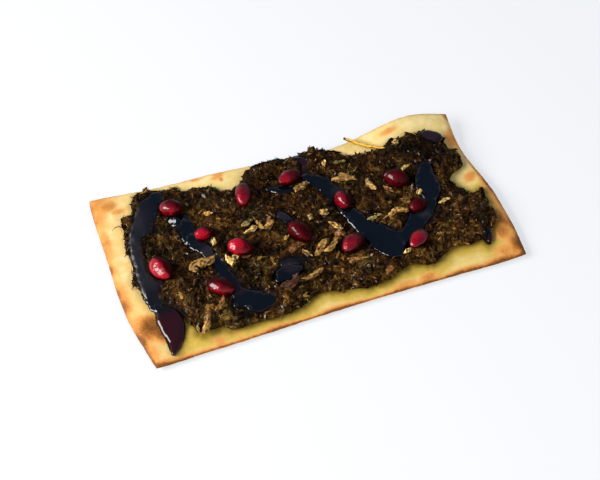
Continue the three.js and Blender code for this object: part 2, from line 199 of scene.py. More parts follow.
def tree_of(node):
    """A solid of the frame, ready to be met by rays."""
    return BVHTree.FromObject(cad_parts[node], bpy.context.evaluated_depsgraph_get())


class Value:
    """A number or colour that a material works out."""

    def __init__(self, shade, socket):
        self.shade = shade
        self.socket = socket

    def maths(self, operation, first, second):
        return self.shade.node("ShaderNodeMath", {"operation": operation}, {0: first, 1: second})

    def __add__(self, other):
        return self.maths("ADD", self, other)

    def __sub__(self, other):
        return self.maths("SUBTRACT", self, other)

    def __mul__(self, other):
        return self.maths("MULTIPLY", self, other)

    def __radd__(self, other):
        return self.maths("ADD", other, self)

    def __rsub__(self, other):
        return self.maths("SUBTRACT", other, self)

    def __rmul__(self, other):
        return self.maths("MULTIPLY", other, self)


class Shade:
    """One material and the nodes that make it."""

    def __init__(self, name, **surface):
        self.material = bpy.data.materials.new(name)
        self.material.use_nodes = True
        self.nodes = self.material.node_tree.nodes
        self.surface = self.nodes["Principled BSDF"]
        self.feed(**surface)
        self.place = self.node("ShaderNodeTexCoord", {}, {}, "Object")

    def node(self, kind, settings, inputs, output=0):
        """One output of a new node of a kind, with its settings and what its inputs get."""
        made = self.nodes.new(kind)
        for key, value in settings.items():
            if key == "stops":
                elements = made.color_ramp.elements
                while len(elements) < len(value):
                    elements.new(0.5)
                for element, (position, colour) in zip(elements, value):
                    element.position = position
                    element.color = (*colour, 1)
            else:
                setattr(made, key, value)
        for key, value in inputs.items():
            self.give(made.inputs[key], value)
        return Value(self, made.outputs[output])

    def give(self, socket, value):
        """Links a value to a socket, or sets a plain number or colour there."""
        if isinstance(value, Value):
            self.material.node_tree.links.new(value.socket, socket)
        elif isinstance(value, tuple) and len(value) == 3 and socket.type == "RGBA":
            socket.default_value = (*value, 1)
        else:
            socket.default_value = value

    def attribute(self, name, output="Fac"):
        """What a mesh stores for each vertex under a name."""
        return self.node("ShaderNodeAttribute", {"attribute_name": name}, {}, output)

    def grain(self, size, detail=3, roughness=0.5):
        """Soft noise from 0 to 1 of one size in metres."""
        return self.node("ShaderNodeTexNoise", {}, {
            "Vector": self.place, "Scale": 1 / size, "Detail": detail, "Roughness": roughness,
        })

    def between(self, low, high, value):
        """0 below low, 1 above high and soft between them."""
        return self.node("ShaderNodeMapRange", {"interpolation_type": "SMOOTHSTEP"}, {
            "Value": value, "From Min": low, "From Max": high,
        })

    def mix(self, share, first, second, blend="MIX"):
        """Two colours mixed by a share."""
        settings = {"data_type": "RGBA", "blend_type": blend}
        return self.node("ShaderNodeMix", settings, {0: share, 6: first, 7: second}, 2)

    def bump(self, height, depth, strength=1.0):
        """Fine relief that only the light sees."""
        return self.node("ShaderNodeBump", {}, {
            "Height": height, "Distance": depth, "Strength": strength,
        }, "Normal")

    def feed(self, **sockets):
        """Gives the surface the values that vary over it."""
        for socket, value in sockets.items():
            self.give(self.surface.inputs[socket.replace("_", " ")], value)

    def cover(self, piece):
        """Puts the material on a piece."""
        piece.data.materials.clear()
        piece.data.materials.append(self.material)


spinach_tree = tree_of("spinach_topping")
bread_tree = tree_of("bread")

bread = own_copy("bread", "crisp_bread")
widest = math.radians(60)
edit_all(bread, bpy.ops.mesh.tris_convert_to_quads, face_threshold=widest, shape_threshold=widest)
corners = points_of(bread)
outer = np.abs(normals_of(bread)[:, 2]) < 0.45
sharp = np.zeros(len(corners))
for side_x, side_y in ((1, 1), (1, -1), (-1, 1), (-1, -1)):
    reach = corners[:, 0] * side_x + corners[:, 1] * side_y
    tip = corners[np.argmax(reach)]
    sharp[np.hypot(*(corners - tip)[:, :2].T) < CORNER_REACH * MM] = 1
creases = bread.data.attributes.new("crease_edge", "FLOAT", "EDGE")
for edge in bread.data.edges:
    a, b = edge.vertices
    creases.data[edge.index].value = 1 if sharp[a] and sharp[b] else RIM_CREASE * (outer[a] and outer[b])
finish_with(bread, "SUBSURF", levels=3, render_levels=3)

# How far each place is from the rim and from the spinach. Past the near side of the spinach's
# middle line the bread is painted darker, as painted shade of the spinach, over oil that has run out there.
crust = points_of(bread)
crust_normals = normals_of(bread)
rim = distances(crust, crust[np.abs(crust_normals[:, 2]) < 0.3]) / MM
upper = crust_normals[:, 2] > 0.2
under_spinach = np.array([
    up and spinach_tree.ray_cast(Vector(p) + Vector((0, 0, 0.05 * MM)), Vector((0, 0, 1)))[0] is not None
    for p, up in zip(crust, upper)
])
from_spinach = distances(crust, crust[under_spinach]) / MM
stations = np.linspace(-60, 60, 13) * MM
middles = [crust[under_spinach & (np.abs(crust[:, 0] - x) < 6 * MM)][:, 1].mean() for x in stations]
near_shade = ramp(8, -8, (crust[:, 1] - np.interp(crust[:, 0], stations, middles)) / MM)

# Blisters, hand-rolled waves and fine pores, and a rim that broke unevenly where it was cut.
x_mm, y_mm = crust[:, 0] / MM, crust[:, 1] / MM
toast = np.zeros(len(crust))
for x, y, reach_x, reach_y, turn, strength in TOASTED:
    angle = math.radians(turn)
    along = (x_mm - x) * math.cos(angle) + (y_mm - y) * math.sin(angle)
    across = (y_mm - y) * math.cos(angle) - (x_mm - x) * math.sin(angle)
    toast = np.maximum(toast, strength * np.exp(-((along / reach_x) ** 2 + (across / reach_y) ** 2) ** 1.3))
patchy = clouds(crust, 6 * MM, 1)
fine = clouds(crust, 1.6 * MM, 2)
free = ramp(-0.2, 1.5, from_spinach)
lift = WAVE_RISE * patchy * ramp(0.5, 4, rim) + PORE_RISE * fine
lift += BLISTER_RISE * ramp(0.25, 0.6, toast) * ramp(0, 2, rim)
crust[:, 2] += MM * upper * free * lift
outward = crust_normals * (1, 1, 0)
torn = clouds(crust * (1, 1, 2.5), 1.3 * MM, 3) + 0.6 * clouds(crust, 4 * MM, 4)
crust += outward * (MM * (RIM_SWELL - RIM_TEAR * torn) * ramp(1.2, 0, rim))[:, None]
bread_low, bread_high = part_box("bread")
place_points(bread, np.clip(crust, bread_low, bread_high))
bpy.ops.object.shade_smooth()

# The rim is toasted in a band, in a thin line along its top edge and in streaks on its wall. Both
# short ends are browner than the long sides, and the near long side has the darkest line.
near_right = ramp(60, 72, x_mm) * ramp(14, -6, y_mm)
near_side = ramp(-34, -40, y_mm)
far_side = ramp(15, 30, y_mm)
# The toasted band is a little darker on the near side, as painted shade.
band = (0.26 * ramp(-58, -74, x_mm) + 0.22 * near_right + 0.06 + 0.06 * near_shade) * ramp(7, 0, rim)
line = ramp(1.6, 0.3, rim) * (0.14 + 0.12 * ramp(-60, -40, x_mm)) * (1 + 0.6 * fine)
line *= 1 - 0.45 * far_side
line += 0.4 * ramp(0.9, 0.3, rim) * ramp(0.6, 0.8, crust_normals[:, 2]) * near_side
layers = 0.3 + 0.3 * clouds(crust * (1, 1, 4), 1.1 * MM, 12)
wall = ramp(0.75, 0.3, np.abs(crust_normals[:, 2])) * layers
# Walls that face right are painted paler, against the shade that they fall in; near walls get less toast too.
wall *= (1 - 0.7 * ramp(0.3, 0.8, crust_normals[:, 0])) * (1 - 0.6 * near_side)
rim_toast = band * (1 + 0.6 * patchy) + line + wall
weigh(bread, "toast", np.clip(toast * (1 + 0.25 * patchy + 0.2 * fine) + rim_toast, 0, 1))

# Oil soaks in round the spinach, and the near side is painted darker still as painted shade of the spinach.
# The left end stayed dry.
dry = 1 - 0.75 * ramp(-58, -68, x_mm)
oil = ramp(8, 0, from_spinach + 1.6 * patchy) * (0.32 + 0.68 * near_shade) + 0.36 * near_shade
# A near-black band along the spinach's edge, strongest on the near side: deep oil and a painted shadow of the
# spinach.
soaked = ramp(3.8, 0, from_spinach + 1.1 * patchy + 0.5 * fine) * (0.25 + 0.75 * near_shade)
weigh(bread, "oil", oil * dry)
weigh(bread, "soaked", soaked * dry)
weigh(bread, "warm", ramp(-35, -70, x_mm))

dough = Shade("baked_crust", Roughness=0.6, Specular_IOR_Level=0.25)
mottle = dough.grain(5 * MM, 4)
speckle = dough.grain(0.7 * MM, 3, 0.65)
toasted = dough.attribute("toast") * (0.6 + 0.8 * speckle)
# The oil mask darkens the bread with oil and, on the near side, with painted shade of the spinach.
oiled_and_shaded = dough.attribute("oil") * (0.4 + 1.2 * mottle)
blotch = dough.grain(2.2 * MM, 4, 0.6)
colour = dough.mix(dough.attribute("warm"), BREAD_CREAM, BREAD_WARM)
colour = dough.mix(dough.between(0.42, 0.68, mottle), colour, BREAD_FLOUR)
colour = dough.mix(dough.between(0.05, 0.95, oiled_and_shaded), colour, BREAD_OIL_AND_SHADE)
toast_colour = dough.node("ShaderNodeValToRGB", {"stops": TOAST_COLOURS}, {0: toasted})
colour = dough.mix(dough.between(0.05, 0.4, toasted), colour, toast_colour)
# Painted shadow and deep oil along the spinach's edge.
colour = dough.mix(dough.attribute("soaked") * 0.85, colour, BREAD_DEEP_OIL_SHADOW)
colour = dough.mix(1.0, colour, 0.8 + 0.4 * blotch, "MULTIPLY")
dough.feed(
    Base_Color=colour,
    Roughness=0.66 - 0.26 * dough.attribute("oil"),
    Normal=dough.bump(0.5 * mottle + 0.5 * speckle, 0.25 * MM, 0.7),
)
dough.cover(bread)
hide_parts("bread")
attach(bread, "root")

# The spinach is cooked down and chopped, then spread on by spoon: a dark, moist, rough bed with a
# ragged edge. Its body is one mass, and loose bits of leaf, a few of them golden, stand out of it.
# Where syrup lies on it, it is pressed smooth.

# Where the syrup will lie: x, y and width along each run, in millimetres. A level run is sunk into
# the spinach, and the others stand proud of it.
SYRUP_RUNS = {
    "left_head": [
        (-50.6, 33, 7.6), (-53.4, 30.2, 9.4), (-57.1, 24.8, 8.8), (-60, 20.1, 8.6), (-62.6, 17.6, 5.4),
    ],
    "left_band": [(-62.9, 17.9, 5.4), (-64.1, 13.4, 4.8), (-65, 8.4, 5.4), (-65.6, 1.9, 5), (-65.9, -3.2, 6)],
    "left_foot": [(-65.8, -3.2, 5.8), (-64.8, -8.5, 8.2), (-65.1, -13.2, 7.6), (-66, -16.6, 5)],
    "left_drip": [
        (-64.4, -18.6, 5.5), (-63, -21.8, 9.8), (-62.4, -26, 10.4), (-62.8, -30, 9.2),
        (-63.4, -33.4, 6.8), (-64.9, -37, 4), (-65.8, -38.8, 2.2),
    ],
    "under_aril": [(-46.6, 21.4, 4), (-44.6, 18.6, 5)],
    "middle_top": [(-43.4, 19, 5.6), (-43.4, 12, 7.2), (-43.2, 8.8, 7.6)],
    "middle": [(-43, 8, 5.6), (-42.4, 5, 6.4), (-40, 0, 5.4)],
    "middle_low": [(-40.6, 1, 5.4), (-37.8, -7.4, 5.8), (-36.2, -15, 6.6)],
    "middle_turn": [(-35, -18, 5), (-34.6, -22.6, 7.6), (-32.8, -26.4, 8.6)],
    "middle_pool": [
        (-36.8, -27.4, 5), (-34.6, -26.4, 9), (-31.6, -27.4, 11), (-28.4, -28.8, 10), (-25.4, -29.2, 6.6),
    ],
    "small_far": [(-7.2, 8.2, 4.8), (-5.6, 4.6, 4.4)],
    "small_near": [(-18.9, -22, 3.6), (-16.6, -20.6, 7), (-13.2, -19.6, 7.6), (-10.6, -19.2, 4.8)],
    "small_near_top": [(-14.4, -15.2, 3.4), (-11.4, -15, 5.2), (-8.2, -15.6, 3.6)],
    "small_near_link": [(-11.6, -15.4, 4), (-13.6, -20.6, 4.4)],
    "pool_top": [(6.9, 24, 4), (10.8, 21.6, 6.6), (14.8, 16.2, 8), (17, 10.5, 8.6), (17.4, 6, 8.4)],
    "pool_neck": [(17.6, 4.6, 6.4), (17.9, 2, 7), (19.4, -3, 8)],
    "pool_wide": [(18.4, -1.4, 6.4), (21.4, -9, 8.8), (25, -15.8, 12.6), (27.2, -21.4, 11)],
    "pool_branch": [
        (28, -19, 10), (33.4, -18.2, 8.6), (37.6, -15.2, 7), (42, -11.6, 8.6), (46, -8.4, 8),
        (50.2, -5.2, 4.8),
    ],
    "branch_up": [(50.4, -4.8, 4.8), (51.3, -1.4, 8.2), (51.9, 2.6, 10.2), (52.7, 7, 8.4), (54.8, 12, 6)],
    "far_patch": [(9, 34, 3), (10.8, 32.4, 4.6), (9.8, 28.8, 2.8), (8.6, 24.6, 3.2)],
    "seam": [(-6.4, 22.4, 3.4), (-4, 21.2, 4.8), (0.6, 19.2, 4)],
    "far_blob": [(62.4, 27.2, 6.2), (64.6, 25.6, 6.4)],
    "right_drip": [(65.4, -24.4, 3.2), (65.3, -27, 2.8), (64.6, -28.8, 3)],
}
LEVEL_RUNS = (
    "left_head", "left_band", "left_foot", "middle_top", "middle_low", "middle_turn", "middle_pool",
    "pool_top", "small_far", "small_near_top", "small_near_link", "far_patch", "seam", "right_drip",
)
SYRUP_STEP = 0.6

# The chopped nuts that will lie on the spinach: x, y, length, width, turn in degrees, colour.
TAN, PALE, GREEN, BROWN, DARK = range(5)
CHIPS = [
    (-42.8, -5.9, 8.6, 3.9, 10, TAN), (-36.4, 1.8, 3.8, 3.2, 70, PALE), (-32.8, -8.2, 4.6, 2.6, 105, PALE),
    (-30.4, -7.4, 3, 2.2, 20, PALE), (-21.4, 8, 3.6, 3, 30, GREEN), (-20.6, 4.4, 5, 2.8, 18, PALE),
    (-17, 6.4, 6.4, 2.4, 100, TAN), (-13.6, 4.6, 6.4, 3, 62, TAN), (-50.4, -31.6, 10, 3, 62, TAN),
    (-43.9, -26.4, 9.6, 2.6, 50, TAN), (-53.9, -32, 3.2, 1.9, 75, PALE), (2.6, -14.6, 11, 3.6, 24, TAN),
    (-7.6, -10.8, 5, 3.4, 20, BROWN), (-4.6, -14.2, 5, 1.8, 105, TAN), (-6.8, -25.2, 8.4, 2, 5, TAN),
    (-15.4, -27, 6.8, 5, 20, DARK), (10.2, -5, 4.6, 2.3, 135, PALE), (10.4, -9.3, 4.4, 2.6, 160, BROWN),
    (8.2, 3, 5.2, 1.9, 122, TAN), (2.7, 4, 3, 2.4, 20, PALE), (4.2, 17.6, 5.4, 2.8, 35, TAN),
    (23, 17, 7.6, 3.2, -16, TAN), (29.7, 9.4, 5.2, 3, 115, GREEN), (18.2, 27, 3.6, 2.6, 60, PALE),
    (23.8, 27, 4, 1.8, 10, GREEN), (47.4, 14.6, 3.4, 2.4, 30, PALE), (45.7, 3.6, 3.8, 1.8, 58, PALE),
    (36.2, 5, 4, 2.8, 130, BROWN), (47.8, -0.4, 3.4, 2.2, 40, PALE), (24.6, -5.4, 4, 1.9, -8, GREEN),
    (27.8, -4.2, 4.2, 1.9, -20, PALE), (34, -7, 7.6, 2.6, -4, TAN), (54.8, -7.2, 4, 1.8, 15, PALE),
    (31.6, -25.9, 3, 2.2, 20, PALE), (48.2, 27.6, 2.4, 2.2, 0, PALE), (-33.8, 18.8, 3.2, 2, 150, TAN),
    (-9.6, -3.6, 3, 2.2, 60, TAN), (16.6, -28, 3.8, 1.9, 80, BROWN), (12, -23.6, 8.4, 2.4, 165, BROWN),
    (22.4, -31.6, 4, 2.2, 30, BROWN),
]

# The onion strand that will lie on it: x, y, height.
STRAND = [(30.3, 38.4, 6.6), (35.2, 33.8, 6.2), (40, 29.8, 6.4), (44.5, 26.6, 6.8)]
ARIL_NODES = sorted(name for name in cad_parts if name.startswith("aril_"))

# The bed's mesh size, how deep syrup presses it, and how its folds swirl, in millimetres. Then the
# swirl's seed, and the share of the underside's mesh that is kept.
BED_GRAIN = 0.42
PRESS_DEPTH = 0.75
SWIRL_SIZE = 4.2
SWIRL_REACH = 2.6
SWIRL_SEED = 7
UNDERSIDE_KEPT = 0.45

# Painted shade on the spinach at the far right: its place and reach, and how dark it is. The near
# side is painted a little lighter than the rest, as painted light.
PAINTED_SHADE_X = 60
PAINTED_SHADE_Y = 20
PAINTED_SHADE_REACH = 8
PAINTED_SHADE_DARK = 0.42
NEAR_PAINTED_LIGHT = 0.07


def smooth_path(knots, step):
    """Evenly spaced places on a smooth line through the knots, each with the knots' extra values."""
    knots = np.array(knots, float)
    padded = np.vstack([2 * knots[0] - knots[1], knots, 2 * knots[-1] - knots[-2]])
    places = []
    for k in range(len(knots) - 1):
        a, b, c, d = padded[k:k + 4]
        count = max(1, round(np.linalg.norm(c[:2] - b[:2]) / step))
        for t in np.arange(count) / count:
            places.append(0.5 * (2 * b + (c - a) * t + (2 * a - 5 * b + 4 * c - d) * t ** 2
                                 + (3 * b - a - 3 * c + d) * t ** 3))
    return np.array([*places, knots[-1]])


strand_places = smooth_path(STRAND, 0.5) * MM
syrup_paths = {name: smooth_path(line, SYRUP_STEP) for name, line in SYRUP_RUNS.items()}
level_places = np.vstack([path for name, path in syrup_paths.items() if name in LEVEL_RUNS])
proud_places = np.vstack([path for name, path in syrup_paths.items() if name not in LEVEL_RUNS])
syrup_places = np.vstack([level_places, proud_places])


def syrup_cover(points, places):
    """How many millimetres inside the outline of some syrup each point lies, seen from above."""
    cover = np.full(len(points), -99.0)
    for x, y, width in places:
        away = np.hypot(points[:, 0] / MM - x, points[:, 1] / MM - y)
        cover = np.maximum(cover, width / 2 - away)
    return cover


def swirled(points, size, reach, seed):
    """Points in millimetres, moved about by soft noise, so that what is drawn on them meanders."""
    shift = Vector((seed * 3.1, seed * 1.7, seed * 5.3))
    return np.array([p + reach * np.array(noise.noise_vector(Vector(p) / size + shift)) for p in points])


def ridges(points, size, seed):
    """Folds from -1 to 1, rounded below and sharp on top."""
    return 1 - 2.6 * np.abs(clouds(points, size, seed))


# The layers of the bed's relief: kind, size in millimetres, seed, weight.
RELIEF = [(clouds, 5.5, 8, 0.5), (clouds, 3, 3, 0.45), (ridges, 2.3, 4, 0.45), (ridges, 1.1, 5, 0.3)]


def painted_shading(x, y):
    """How much painted shade darkens the spinach at the far right, less how much painted light lightens its
    near side.
    """
    shade_spot = np.exp(-((x / MM - PAINTED_SHADE_X) / PAINTED_SHADE_REACH) ** 2 - ((y / MM - PAINTED_SHADE_Y) / PAINTED_SHADE_REACH) ** 2)
    return PAINTED_SHADE_DARK * shade_spot - NEAR_PAINTED_LIGHT * ramp(-14, -26, y / MM)


def group_by(piece, name, weights):
    """Makes a vertex group in which each vertex has its own weight."""
    group = piece.vertex_groups.new(name=name)
    for index, weight in enumerate(weights):
        if weight > 0.01:
            group.add([index], float(weight), "REPLACE")


def top_of(tree, x, y):
    """Height of a solid's upper face at a place, or None beside the solid."""
    hit = tree.ray_cast(Vector((x, y, 50 * MM)), Vector((0, 0, -1)))[0]
    return None if hit is None else hit[2]


def over_bread(points):
    """How many millimetres above the bread, or above the ground beside it, each point lies."""
    return np.array([z - (top_of(bread_tree, x, y) or 0) for x, y, z in points]) / MM


# With its seed set, the swirl of the folds comes out the same each time.
noise.seed_set(SWIRL_SEED)
spinach = own_copy("spinach_topping", "spinach_bed")
finish_with(spinach, "REMESH", mode="VOXEL", voxel_size=BED_GRAIN * MM, adaptivity=0)
group_by(spinach, "below", (normals_of(spinach)[:, 2] < -0.6) * 1.0)
finish_with(spinach, "DECIMATE", ratio=UNDERSIDE_KEPT, vertex_group="below", vertex_group_factor=1)
bed = points_of(spinach)
bed_normals = normals_of(spinach)
level_cover = syrup_cover(bed, level_places)
proud_cover = syrup_cover(bed, proud_places)
cover = np.maximum(level_cover, proud_cover)
above = over_bread(bed)
open_top = ramp(0.5, 1.1, above) * ramp(0.6, -0.5, cover) * ramp(-0.6, -0.2, bed_normals[:, 2])
open_top *= ramp(0.8, 1.6, distances(bed, strand_places) / MM)
pressed = np.maximum(ramp(-1.3, 0.6, proud_cover), ramp(0.2, 1.1, level_cover))
pressed *= (bed_normals[:, 2] > 0.2) * ramp(0.6, 1.8, above)
bed[:, 2] -= MM * PRESS_DEPTH * pressed
folded = swirled(bed / MM, SWIRL_SIZE, SWIRL_REACH, 2)
relief = sum(weight * form(folded, size, seed) for form, size, seed, weight in RELIEF)
bed += bed_normals * (MM * open_top * (relief - 0.25))[:, None]
place_points(spinach, bed)
spinach.vertex_groups.clear()
bpy.ops.object.shade_smooth()
# The tone follows the relief: hollows are painted darker as painted shade and ridges lighter; it is also
# darker just outside the syrup.
bed_tone = 0.13 + 0.42 * relief + 0.12 * clouds(bed / MM, 7, 6) - 0.25 * ramp(-2.5, -0.3, cover)
weigh(spinach, "tone", bed_tone - painted_shading(bed[:, 0], bed[:, 1]))

# Loose bits stand out of the bed: crumpled flakes of leaf, fine threads, shreds along the margin and
# broad scraps. A flake is a thin closed patch with its own folds; each of the others is a bent,
# pointed sliver with three sides.
leaf_rng = random.Random(11)

# The way that pieces lie and how far it turns, in radians, over how many millimetres; which share of
# them is golden; and how many millimetres they keep clear of an aril.
FLOW_WAY = 1.2
FLOW_TURN = 2.6
FLOW_SIZE = 9
GOLDEN_SHARE = 0.17
ARIL_GAP = 0.3


def flake(size):
    """The vertices and faces of one crumpled flake, three corners by three, top and underside."""
    fold = leaf_rng.uniform(0.15, 0.5)
    long = leaf_rng.uniform(0.9, 1.6)
    curl = leaf_rng.uniform(0, math.tau)
    tops = []
    for j in range(3):
        for i in range(3):
            x = (i - 1) * 0.5 * long + leaf_rng.uniform(-0.2, 0.2)
            y = (j - 1) * 0.5 + leaf_rng.uniform(-0.2, 0.2)
            lift = fold * (x * math.cos(curl) + y * math.sin(curl)) ** 2 * 2 + leaf_rng.uniform(-0.16, 0.16)
            tops.append(Vector((x, y, lift)) * size)
    thickness = Vector((0, 0, 0.16 * size))
    faces = []
    for j in range(2):
        for i in range(2):
            quad = (3 * j + i, 3 * j + i + 1, 3 * j + i + 4, 3 * j + i + 3)
            faces += [quad, tuple(9 + k for k in reversed(quad))]
    loop = [0, 1, 2, 5, 8, 7, 6, 3]
    faces += [(b, a, a + 9, b + 9) for a, b in zip(loop, loop[1:] + loop[:1])]
    return tops + [v - thickness for v in tops], faces


def sliver(length, width, thickness, rings):
    """The vertices and faces of one bent sliver that lies along X."""
    bend = leaf_rng.uniform(-1.3, 1.3)
    arch = leaf_rng.uniform(-0.1, 0.5)
    twist = leaf_rng.uniform(-1.6, 1.6)
    fat = leaf_rng.uniform(0.3, 0.7)
    vertices = []
    for k in range(rings):
        t = k / (rings - 1)
        swell = 0.16 + 0.84 * (math.sin(math.pi * t ** (0.6 + fat)) ** 0.8 if 0 < t < 1 else 0)
        off = t - 0.5
        middle = Vector((length * off, length * bend * off ** 2, length * arch * (0.25 - off ** 2)))
        for corner in range(3):
            angle = twist * t + corner * math.tau / 3
            side = math.cos(angle) * width / 2 * swell * leaf_rng.uniform(0.8, 1.2)
            up = math.sin(angle) * thickness / 2 * swell
            vertices.append(middle + Vector((0, side, up)))
    faces = []
    for k in range(rings - 1):
        for corner in range(3):
            a, b = 3 * k + corner, 3 * k + (corner + 1) % 3
            faces.append((a, a + 3, b + 3, b))
    return vertices, [(0, 1, 2), *faces, tuple(reversed(range(3 * rings - 3, 3 * rings)))]


def slivers(length, width, thickness, rings=5):
    """What draws one sliver after another, with sizes from these ranges in millimetres."""
    spans = (length, width, thickness)
    return lambda: sliver(*[leaf_rng.uniform(*span) * MM for span in spans], rings)


def flow(place, stray):
    """The way a piece lies, in radians: neighbours lie much the same way."""
    return FLOW_WAY + FLOW_TURN * noise.noise(Vector(place) / (FLOW_SIZE * MM)) + leaf_rng.gauss(0, stray)


def leaf_tone(place):
    """Dark leaf for the most part, and a few pieces golden."""
    golden = leaf_rng.random() < GOLDEN_SHARE
    return (leaf_rng.uniform(0.55, 0.9) if golden else leaf_rng.uniform(0, 0.5)) - painted_shading(*place[:2])


def new_piece(name, data):
    """Puts a mesh or a curve into the scene."""
    piece = bpy.data.objects.new(name, data)
    bpy.context.collection.objects.link(piece)
    return piece


def scatter(name, count, shape, tilt, stray, brightness, keep):
    """Many small shapes laid on the spinach's open surface, joined in one mesh."""
    areas = np.empty(len(spinach.data.polygons), np.float32)
    spinach.data.polygons.foreach_get("area", areas)
    centres = rows_of(spinach.data.polygons, "center")
    facing = rows_of(spinach.data.polygons, "normal")
    draws = np.random.default_rng(leaf_rng.randrange(10 ** 6))
    chosen = draws.choice(len(areas), 4 * count, p=areas / areas.sum())
    chosen = chosen[keep(centres[chosen], facing[chosen])][:count]
    vertices, faces, tones = [], [], []
    for pick in chosen:
        normal = Vector(facing[pick])
        way = flow(centres[pick], stray)
        across = normal.cross(Vector((math.cos(way), math.sin(way), 0))).normalized()
        lie = Matrix((across.cross(normal), across, normal)).transposed()
        lie = lie @ Euler((leaf_rng.gauss(0, tilt), leaf_rng.gauss(0, tilt), 0)).to_matrix()
        shape_vertices, shape_faces = shape()
        start = len(vertices)
        vertices += [Vector(centres[pick]) + lie @ v for v in shape_vertices]
        faces += [tuple(start + i for i in face) for face in shape_faces]
        tones += [brightness * leaf_tone(centres[pick])] * len(shape_vertices)
    joined = bpy.data.meshes.new(name)
    joined.from_pydata(vertices, [], faces)
    joined.validate()
    piece = new_piece(name, joined)
    edit_all(piece, bpy.ops.mesh.normals_make_consistent, inside=False)
    bpy.ops.object.shade_smooth_by_angle(angle=math.radians(50))
    weigh(piece, "tone", tones)
    return piece


aril_boxes = [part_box(node) for node in ARIL_NODES]


def clear_of_arils(points):
    """True where a point lies clear of every aril."""
    clear = np.ones(len(points), bool)
    for low, high in aril_boxes:
        middle, half = np.array(low + high) / 2, np.array(high - low) / 2
        clear &= (((points - middle) / (half + ARIL_GAP * MM)) ** 2).sum(1) > 1
    return clear


def clear_of_chips(points):
    """True where a point is not on a chopped nut."""
    clear = np.ones(len(points), bool)
    for x, y, length, width, turn, _ in CHIPS:
        away = points[:, :2] / MM - (x, y)
        c, s = math.cos(math.radians(turn)), math.sin(math.radians(turn))
        along, across = away @ (c, s), away @ (-s, c)
        clear &= (along / (length / 2)) ** 2 + (across / (width / 2)) ** 2 > 0.9
    return clear


def on_open_spinach(centres, facing):
    """True on upper spinach that is clear of syrup, onion, arils and nuts."""
    upper_spinach = (over_bread(centres) > 0.7) & (facing[:, 2] > -0.1)
    clear = (syrup_cover(centres, syrup_places) < -0.4) & (distances(centres, strand_places) > 1.2 * MM)
    return upper_spinach & clear & clear_of_arils(centres) & clear_of_chips(centres)


def on_margin(centres, facing):
    """True on the ragged sides of the spinach."""
    steep = (facing[:, 2] > 0) & (facing[:, 2] < 0.7)
    return steep & (centres[:, 2] > 2.9 * MM) & on_open_spinach(centres, facing)


# For each kind: how many, how large, how far they tilt off the bed and stray from the flow, in
# radians, and how bright they are.
flakes = scatter(
    "spinach_flakes", 2600, lambda: flake(leaf_rng.uniform(0.5, 1.2) * MM),
    tilt=0.5, stray=1.5, brightness=0.75, keep=on_open_spinach,
)
threads = scatter(
    "spinach_threads", 4400, slivers((1, 3), (0.16, 0.36), (0.14, 0.26)),
    tilt=0.2, stray=0.6, brightness=1, keep=on_open_spinach,
)
shreds = scatter(
    "spinach_shreds", 700, slivers((1.8, 3.8), (0.4, 0.9), (0.2, 0.35)),
    tilt=0.7, stray=1.5, brightness=1, keep=on_margin,
)
scraps = scatter(
    "spinach_scraps", 1000, slivers((2.2, 5), (0.8, 2.1), (0.2, 0.4), rings=8),
    tilt=0.3, stray=0.5, brightness=0.8, keep=on_open_spinach,
)

# Leaf from its darkest to its palest, in two hues that lie in patches.
OLIVE_TONES = [
    (0.0, (0.003, 0.0015, 0.0004)), (0.3, (0.017, 0.0085, 0.0015)), (0.55, (0.055, 0.031, 0.0055)),
    (0.78, (0.15, 0.093, 0.018)), (1.0, (0.42, 0.27, 0.075)),
]
RUSSET_TONES = [
    (0.0, (0.004, 0.0015, 0.0004)), (0.3, (0.026, 0.0095, 0.0016)), (0.55, (0.08, 0.034, 0.006)),
    (0.78, (0.19, 0.09, 0.017)), (1.0, (0.44, 0.25, 0.065)),
]
leaf_shade = Shade("cooked_spinach", Specular_IOR_Level=0.06, Coat_Roughness=0.12)
leaf_grain = leaf_shade.grain(0.6 * MM, 3, 0.65)
leaf_patches = leaf_shade.grain(5 * MM, 3)
leaf_value = leaf_shade.attribute("tone") + 0.75 * (leaf_grain - 0.5) + 1.1 * (leaf_patches - 0.5)
russet = leaf_shade.between(0.36, 0.54, leaf_shade.grain(9 * MM, 3))
olive_tone = leaf_shade.node("ShaderNodeValToRGB", {"stops": OLIVE_TONES}, {0: leaf_value})
russet_tone = leaf_shade.node("ShaderNodeValToRGB", {"stops": RUSSET_TONES}, {0: leaf_value})
wet = leaf_shade.between(0.54, 0.64, leaf_shade.grain(2.2 * MM, 2))
leaf_shade.feed(
    Base_Color=leaf_shade.mix(russet, olive_tone, russet_tone),
    Roughness=0.75 - 0.3 * wet,
    Coat_Weight=0.42 * wet,
    Normal=leaf_shade.bump(leaf_grain, 0.3 * MM, 0.7),
)
for piece in (spinach, flakes, threads, shreds, scraps):
    leaf_shade.cover(piece)
    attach(piece, "root")
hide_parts("spinach_topping")

# The syrup is thick, nearly black fruit molasses, drizzled on last from a spoon. It lies in smooth
# runs and level pools with rounded lips, and runs off the left side on to the bread.

# How wide a lip rounds off on a flat run and on a domed one, how far the top stands over the
# spinach, how deep the body goes into it, and the mesh size, in millimetres.
LIP = 1.4
DOME = 2.3
SYRUP_PROUD = 0.45
SYRUP_LEVEL = -0.08
SYRUP_DEEP = 1.1
SYRUP_GRAIN = 0.36
DOMED_RUNS = ("under_aril", "left_drip")

# How many steps round a lip, where the stations of a run's round tip lie between its end and its
# point, and how many neighbours on each side even out its level.
LIP_STEPS = 6
TIP_STATIONS = (0.995, 0.9, 0.72, 0.5, 0.25)
EVENED_OVER = 4

